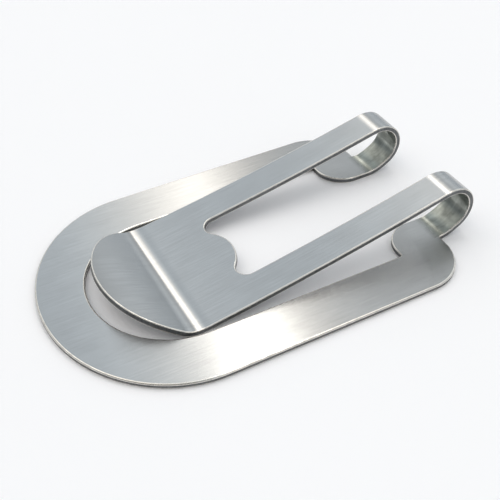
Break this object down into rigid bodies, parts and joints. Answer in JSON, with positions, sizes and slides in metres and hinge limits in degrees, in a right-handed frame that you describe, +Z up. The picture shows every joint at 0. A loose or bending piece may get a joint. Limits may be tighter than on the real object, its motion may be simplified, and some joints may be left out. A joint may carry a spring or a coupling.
{
  "type": "money clip",
  "caption": "Flat U-shaped steel frame whose rolled spring loops carry a forked, rounded tongue that dips into the frame and grips folded notes.",
  "frame": {"origin": "under the middle of the clip's overall box, on the flat face it rests on", "axes": "+X along the clip from the rounded bow towards the spring loops, +Z up out of the flat frame, +Y to the left leg"},
  "size_m": [0.0506, 0.032, 0.0072],
  "materials": {
    "brushed_steel": "fine brushed, satin"
  },
  "bodies": {
    "frame": {"front_bow": "brushed_steel", "left_leg": "brushed_steel", "right_leg": "brushed_steel", "left_loop_tab": "brushed_steel", "right_loop_tab": "brushed_steel", "left_spring_loop": "brushed_steel", "right_spring_loop": "brushed_steel"},
    "clamp": {"left_arm": "brushed_steel", "right_arm": "brushed_steel", "tongue_plate": "brushed_steel", "lead_in_lip": "brushed_steel"}
  },
  "joints": [
    {"name": "clamp_lift", "type": "hinge", "parent": "frame", "child": "clamp", "pos_m": [0.02199, 0, 0.0039], "axis": [0, 1, 0], "range_deg": [0, 8], "stiffness_Nm_per_rad": 2, "deforming": ["left_spring_loop", "right_spring_loop"]}
  ]
}
